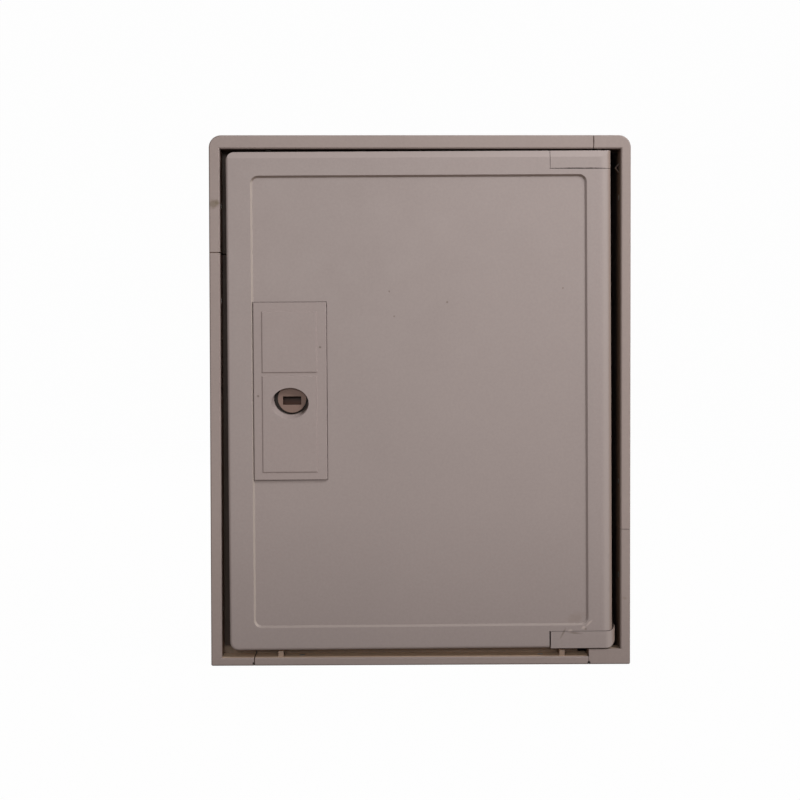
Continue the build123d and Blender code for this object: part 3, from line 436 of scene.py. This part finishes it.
seam_dirt = clouded("seam_dirt", 900.0, 2.0, (0.05, 0.03, 0.024), (0.20, 0.14, 0.11))[0]
seam_dirt.node_tree.nodes["Principled BSDF"].inputs["Roughness"].default_value = 0.95
dirt_back = -0.2062
dirt_margin = 0.0012
edge_margin = 0.0001
rail_face_top = 0.2394
rail_face_left = -0.1899
rail_face_bottom = -0.2445
box_low, box_high = size_at_load
for dirt_name, dirt_face, dirt_low, dirt_high in (
    ("top_seam_dirt", -0.2088, (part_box("rim_top_left")[1].x, rail_face_top + dirt_margin),
     (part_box("rim_top_right")[0].x, box_high.z - edge_margin)),
    ("left_seam_dirt", -0.2098, (box_low.x + edge_margin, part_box("rim_bottom_left")[1].z),
     (rail_face_left - dirt_margin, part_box("rim_top_left")[0].z)),
    ("bottom_seam_dirt", -0.2088, (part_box("rim_bottom_left")[1].x, box_low.z + edge_margin),
     (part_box("rim_bottom")[0].x, rail_face_bottom - dirt_margin)),
):
    packed = bmesh.new()
    bmesh.ops.create_cube(packed, size=1.0)
    bmesh.ops.scale(packed, verts=packed.verts,
                    vec=(dirt_high[0] - dirt_low[0], dirt_back - dirt_face, dirt_high[1] - dirt_low[1]))
    bmesh.ops.translate(packed, verts=packed.verts,
                        vec=((dirt_low[0] + dirt_high[0]) / 2, (dirt_face + dirt_back) / 2,
                             (dirt_low[1] + dirt_high[1]) / 2))
    dirt_mesh = bpy.data.meshes.new(dirt_name)
    packed.to_mesh(dirt_mesh)
    packed.free()
    dirt_mesh.materials.append(seam_dirt)
    dirt_object = bpy.data.objects.new(dirt_name, dirt_mesh)
    scene.collection.objects.link(dirt_object)
    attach(dirt_object, "box")


# Zinc plate: what screws, pins and the washer share, bright steel with a faint cloudy haze; the pins
# are pressed into the hinge blocks.
def gloss(material, cloud, smooth, dull):
    """Lets a material's roughness follow its clouds."""
    tree = material.node_tree
    roughness = ramp(tree, cloud, 0.0, 1.0, smooth, dull)
    tree.links.new(roughness, tree.nodes["Principled BSDF"].inputs["Roughness"])


zinc, zinc_cloud = clouded("zinc_plate", 260.0, 4.0, (0.46, 0.46, 0.45), (0.64, 0.63, 0.60))
zinc.node_tree.nodes["Principled BSDF"].inputs["Metallic"].default_value = 1.0
gloss(zinc, zinc_cloud, 0.22, 0.5)
dress(zinc, "upper_hinge_pin", "lower_hinge_pin", "cam_washer")

# Screws: turned heads with a pressed cross, one for each plain screw of the frame, at its place.
# Pan heads stand on what they hold; the rim's heads are countersunk and end flush. The shares are
# of the head's radius, those called high or deep of its height, and the taper is the cross's floor.
head_segments = 24
wall_high = 0.55
shoulder_high = 0.85
shoulder_radius = 0.93
crown_radius = 0.78
cross_arm = 0.62
cross_width = 0.2
cross_deep = 0.55
cross_taper = 0.7
under_head = 0.9
same_height = 1e-5
same_place = 1e-6


def cross_screw(mesh, plain_points, axis, sign, pan):
    """Adds one screw to a mesh, sized by the points of the plain screw that it stands for; its head
    looks along sign times axis."""
    low = Vector([min(point[i] for point in plain_points) for i in range(3)])
    high = Vector([max(point[i] for point in plain_points) for i in range(3)])
    middle = (low + high) / 2
    spread = [(point - middle, sign * point[axis]) for point in plain_points]
    for offset, along in spread:
        offset[axis] = 0.0
    top = max(along for offset, along in spread)
    tip = min(along for offset, along in spread)
    shank = min(offset.length for offset, along in spread if along < tip + same_height)
    head = max(offset.length for offset, along in spread)
    base = top - (head - shank)
    if pan:
        base = min(along for offset, along in spread if offset.length > under_head * head)
    height = top - base
    outline = [(shank, tip), (shank, base), (head, top)]
    if pan:
        outline[2:] = [(head, base), (head, base + wall_high * height),
                       (shoulder_radius * head, base + shoulder_high * height), (crown_radius * head, top)]
    screw = bmesh.new()
    profile = [screw.verts.new((radius, 0.0, along)) for radius, along in outline]
    sides = [screw.edges.new(pair) for pair in zip(profile, profile[1:])]
    bmesh.ops.spin(screw, geom=profile + sides, cent=(0.0, 0.0, 0.0), axis=(0.0, 0.0, 1.0),
                   dvec=(0.0, 0.0, 0.0), angle=2 * math.pi, steps=head_segments, use_merge=True)
    open_ends = [edge for edge in screw.edges if edge.is_boundary]
    tip_ring = [edge for edge in open_ends if edge.verts[0].co.z < base]
    top_ring = [edge for edge in open_ends if edge.verts[0].co.z > base]
    bmesh.ops.holes_fill(screw, edges=tip_ring, sides=0)
    arm, half = cross_arm * head, cross_width * head / 2
    corners = [screw.verts.new((x, y, top)) for x, y in (
        (arm, -half), (arm, half), (half, half), (half, arm), (-half, arm), (-half, half),
        (-arm, half), (-arm, -half), (-half, -half), (-half, -arm), (half, -arm), (half, -half))]
    cross = [screw.edges.new((corners[i - 1], corners[i])) for i in range(len(corners))]
    sunk = bmesh.ops.extrude_edge_only(screw, edges=cross)["geom"]
    sunk_corners = [piece for piece in sunk if isinstance(piece, bmesh.types.BMVert)]
    sunk_edges = [piece for piece in sunk if isinstance(piece, bmesh.types.BMEdge) and piece.is_boundary]
    bmesh.ops.translate(screw, verts=sunk_corners, vec=(0.0, 0.0, -cross_deep * height))
    bmesh.ops.scale(screw, verts=sunk_corners, vec=(cross_taper, cross_taper, 1.0))
    bmesh.ops.holes_fill(screw, edges=sunk_edges, sides=0)
    bmesh.ops.triangle_fill(screw, edges=top_ring + cross, use_beauty=True, normal=(0.0, 0.0, 1.0))
    across = Vector([float(i == (axis + 1) % 3) for i in range(3)])
    normal = sign * Vector([float(i == axis) for i in range(3)])
    turn = Matrix((across, normal.cross(across), normal)).transposed().to_4x4()
    middle[axis] = 0.0
    bmesh.ops.transform(screw, matrix=Matrix.Translation(middle) @ turn, verts=screw.verts)
    one_screw = bpy.data.meshes.new("one_screw")
    screw.to_mesh(one_screw)
    screw.free()
    mesh.from_mesh(one_screw)
    bpy.data.meshes.remove(one_screw)


def dress_screws(node, body, pan):
    """Makes the turned screws that stand for a node of plain ones."""
    plain = bmesh.new()
    plain.from_mesh(nodes[node].data)
    bmesh.ops.remove_doubles(plain, verts=plain.verts, dist=same_place)
    turned = bmesh.new()
    met = set()
    for first in plain.verts:
        if first in met:
            continue
        island = [first]
        met.add(first)
        for vert in island:
            for edge in vert.link_edges:
                other = edge.other_vert(vert)
                if other not in met:
                    met.add(other)
                    island.append(other)
        points = [vert.co.copy() for vert in island]
        size = [max(p[i] for p in points) - min(p[i] for p in points) for i in range(3)]
        apart = [abs(size[i] - size[i - 1]) * abs(size[i] - size[i - 2]) for i in range(3)]
        axis = apart.index(max(apart))
        middle = [sum(p[i] for p in points) / len(points) for i in range(3)]
        widest = {}
        for sign in (-1, 1):
            end = max(sign * p[axis] for p in points)
            widest[sign] = max(math.dist([p[i] for i in range(3) if i != axis],
                                         [middle[i] for i in range(3) if i != axis])
                               for p in points if sign * p[axis] > end - same_height)
        cross_screw(turned, points, axis, max(widest, key=widest.get), pan)
    plain.free()
    bmesh.ops.recalc_face_normals(turned, faces=turned.faces)
    screw_mesh = bpy.data.meshes.new(node + "_turned")
    turned.to_mesh(screw_mesh)
    turned.free()
    screw_mesh.materials.append(zinc)
    screws = bpy.data.objects.new(node + "_turned", screw_mesh)
    scene.collection.objects.link(screws)
    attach(screws, body)
    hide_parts(node)


dress_screws("rim_screws", "box", False)
dress_screws("bracket_screws", "box", True)
dress_screws("lock_plate_screws", "door", True)
dress_screws("hinge_block_screws", "door", True)
dress_screws("cam_screw", "lock", True)

# Meter bracket and latch cam: folded and punched galvanised sheet with zinc spangle; the bracket is
# screwed to two bosses of the back wall, the cam to the end of the plug.
galvanised = bpy.data.materials.new("galvanised_sheet")
galvanised.use_nodes = True
sheet_tree = galvanised.node_tree
sheet_tree.nodes["Principled BSDF"].inputs["Metallic"].default_value = 1.0
spangle = sheet_tree.nodes.new("ShaderNodeTexVoronoi")
spangle.inputs["Scale"].default_value = 130.0
sheet_place = sheet_tree.nodes.new("ShaderNodeTexCoord")
sheet_tree.links.new(sheet_place.outputs["Object"], spangle.inputs["Vector"])
flake = sheet_tree.nodes.new("ShaderNodeSeparateColor")
sheet_tree.links.new(spangle.outputs["Color"], flake.inputs["Color"])
paint(galvanised, overlay(galvanised, (0.40, 0.41, 0.42), flake.outputs["Red"], (0.60, 0.61, 0.62)))
gloss(galvanised, flake.outputs["Green"], 0.34, 0.52)
dress(galvanised, "meter_bracket", "latch_cam")

# Pipe gland: one plate of black rubber with two pipe holes, greyed by dust; it is set into the
# bottom wall from inside and rests on its flange.
rubber, rubber_dust = clouded("gland_rubber", 70.0, 5.0, (0.012, 0.012, 0.013), (0.055, 0.052, 0.048))
gloss(rubber, rubber_dust, 0.55, 0.85)
dress(rubber, "pipe_gland")

# Door and hinge blocks: moulded shell with the recessed panel, satin taupe, hung on its two corner
# blocks; painted light on the top bevel, the hinge side's roll and the panel's left and bottom step,
# painted shade on the roll's outer edge, under the step's top edge and in the gap round the door, a
# painted shadow under the upper block, a few dark specks and a scuffed corner.
door_plastic, door_colour = moulded("door_plastic", (0.366, 0.310, 0.299), 0.5)
door_tree = door_plastic.node_tree
door_place, door_facing = place_and_facing(door_tree)
# Painted light on the top bevel, where it looks up.
top_bevel_light = past(door_tree, 0.45, (door_facing["Z"], 0.25, 0.4), (door_place["Z"], 0.2255, 0.2260))
on_hinge_side = (door_place["X"], 0.168, 0.170)
# Painted light on the hinge side's roll, and painted shade on its outer edge.
hinge_roll_light = past(door_tree, 0.5, (door_facing["X"], 0.10, 0.30), on_hinge_side)
roll_edge_shade = past(door_tree, 0.7, (door_facing["X"], 0.46, 0.64), on_hinge_side)
panel_step = (
    (door_place["Y"], -0.2085, -0.2088),
    (door_place["X"], 0.1642, 0.1638), (door_place["X"], -0.1642, -0.1638),
    (door_place["Z"], 0.2162, 0.2158), (door_place["Z"], -0.2162, -0.2158),
)
# Painted light on the step's left and bottom sides, painted shade under its top side.
step_left_light = past(door_tree, 0.8, (door_facing["X"], 0.2, 0.5), *panel_step)
step_bottom_light = past(door_tree, 0.25, (door_facing["Z"], 0.2, 0.5), *panel_step)
step_top_shade = past(door_tree, 0.8, (door_facing["Z"], -0.2, -0.5), *panel_step)
door_colour = overlay(door_plastic, door_colour, top_bevel_light, (0.44, 0.38, 0.365))
door_colour = overlay(door_plastic, door_colour, hinge_roll_light, (0.43, 0.37, 0.35))
door_colour = overlay(door_plastic, door_colour, roll_edge_shade, (0.26, 0.19, 0.15))
door_colour = overlay(door_plastic, door_colour, step_left_light, (0.47, 0.41, 0.37))
door_colour = overlay(door_plastic, door_colour, step_bottom_light, (0.47, 0.41, 0.37))
door_colour = overlay(door_plastic, door_colour, step_top_shade, (0.21, 0.16, 0.135))
# Painted brown shade in the gap round the door and painted light on its bottom ledge.
door_colour = paint_gap_light(door_plastic, door_colour, (0.30, 0.235, 0.20), (0.36, 0.30, 0.28))
door_colour = spots(door_plastic, door_colour, (0.15, 0.11, 0.09), 0.6,
                    (-0.0296, 0.1044, 0.0011, 1.0, 0.0), (-0.0249, 0.0807, 0.0010, 1.0, 0.0),
                    (0.0254, 0.0940, 0.0012, 1.0, 0.0), (0.1355, 0.1073, 0.0011, 1.0, 0.0))
door_colour = spots(door_plastic, door_colour, (0.15, 0.115, 0.095), 0.6,
                    (0.1469, -0.2216, 0.0012, 6.0, -5.0), (0.1355, -0.2220, 0.0011, 6.0, 62.0),
                    (0.1572, -0.2178, 0.0014, 1.0, 0.0))
door_colour = spots(door_plastic, door_colour, (0.26, 0.205, 0.18), 0.42,
                    (0.1480, -0.2075, 0.0055, 1.8, 20.0))
door_colour = spots(door_plastic, door_colour, (0.50, 0.42, 0.39), 0.7,
                    (0.1422, -0.2194, 0.0015, 1.6, 10.0), (0.1552, -0.2164, 0.0016, 1.4, 20.0),
                    (0.1606, -0.2121, 0.0010, 5.0, 45.0))
# A thin dark line of painted shadow under the upper hinge block's lower edge.
block_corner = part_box("upper_hinge_block")[0]
line_middle = 0.0285
door_colour = spots(door_plastic, door_colour, (0.05, 0.034, 0.03), 0.85,
                    (block_corner.x + line_middle, block_corner.z, 0.0008, 36.0, 0.0))
paint(door_plastic, door_colour)
dress(door_plastic, "door_panel", "upper_hinge_block", "lower_hinge_block")

# Lock plate: taupe insert of the door with two raised pads and the oval dish, screwed on from behind;
# two small dark marks beside the pads, and painted shade on the dish's low right side and round the plug.
plate_plastic, plate_colour = moulded("plate_plastic", (0.362, 0.302, 0.291), 0.5)
plate_tree = plate_plastic.node_tree
plate_place, plate_facing = place_and_facing(plate_tree)
plate_colour = spots(plate_plastic, plate_colour, (0.12, 0.09, 0.075), 0.7,
                     (-0.0953, 0.0515, 0.0013, 1.0, 0.0), (-0.1540, 0.0052, 0.0013, 1.0, 0.0))
# Painted shade on the dish's low right wall.
dish_shade_spot = mark(plate_plastic, 0.85, -0.1098, -0.0068, 0.0042, 1.8, 50.0)
dish_shade = past(plate_tree, dish_shade_spot, (plate_place["Y"], -0.2120, -0.2095))
plate_colour = overlay(plate_plastic, plate_colour, dish_shade, (0.05, 0.035, 0.025))
seat_reach = 0.0186
seat_floor = -0.1999
seat_edge = 0.00001
plug_low, plug_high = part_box("lock_plug")
plug_middle = (plug_low + plug_high) / 2
flat_place = plate_tree.nodes.new("ShaderNodeCombineXYZ")
plate_tree.links.new(plate_place["X"], flat_place.inputs["X"])
plate_tree.links.new(plate_place["Z"], flat_place.inputs["Z"])
from_plug = plate_tree.nodes.new("ShaderNodeVectorMath")
from_plug.operation = "DISTANCE"
from_plug.inputs[1].default_value = (plug_middle.x, 0.0, plug_middle.z)
plate_tree.links.new(flat_place.outputs["Vector"], from_plug.inputs[0])
# Near-black painted shade in the ring gap round the plug.
ring_shade = past(plate_tree, 1.0, (plate_place["Y"], -0.2076, -0.2062), (plate_facing["Y"], 0.5, 0.2),
                 (from_plug.outputs["Value"], seat_reach, seat_reach - seat_edge),
                 (plate_place["Y"], seat_floor, seat_floor - seat_edge))
plate_colour = overlay(plate_plastic, plate_colour, ring_shade, (0.025, 0.012, 0.006))
paint(plate_plastic, plate_colour)
dress(plate_plastic, "lock_plate")

# Lock plug: warmer plastic plug in the plate's barrel with a key slot, turned by a flat key; the slot
# is painted dark as shade inside and darkest along its top as painted shadow.
plug_plastic, plug_colour = moulded("plug_plastic", (0.235, 0.157, 0.13), 0.45)
plug_tree = plug_plastic.node_tree
plug_tree.nodes["Principled BSDF"].inputs["Specular IOR Level"].default_value = 0.25
plug_place = place_and_facing(plug_tree)[0]
in_the_slot = (plug_place["Y"], -0.2060, -0.2000)
# Painted shade inside the key slot, darkest as painted shadow along its top.
slot_shade = past(plug_tree, 0.9, in_the_slot)
slot_top_shadow = past(plug_tree, 0.765, in_the_slot, (plug_place["Z"], -0.0012, 0.0024))
plug_colour = overlay(plug_plastic, plug_colour, slot_shade, (0.10, 0.036, 0.020))
plug_colour = overlay(plug_plastic, plug_colour, slot_top_shadow, (0.02, 0.010, 0.008))
paint(plug_plastic, plug_colour)
dress(plug_plastic, "lock_plug")
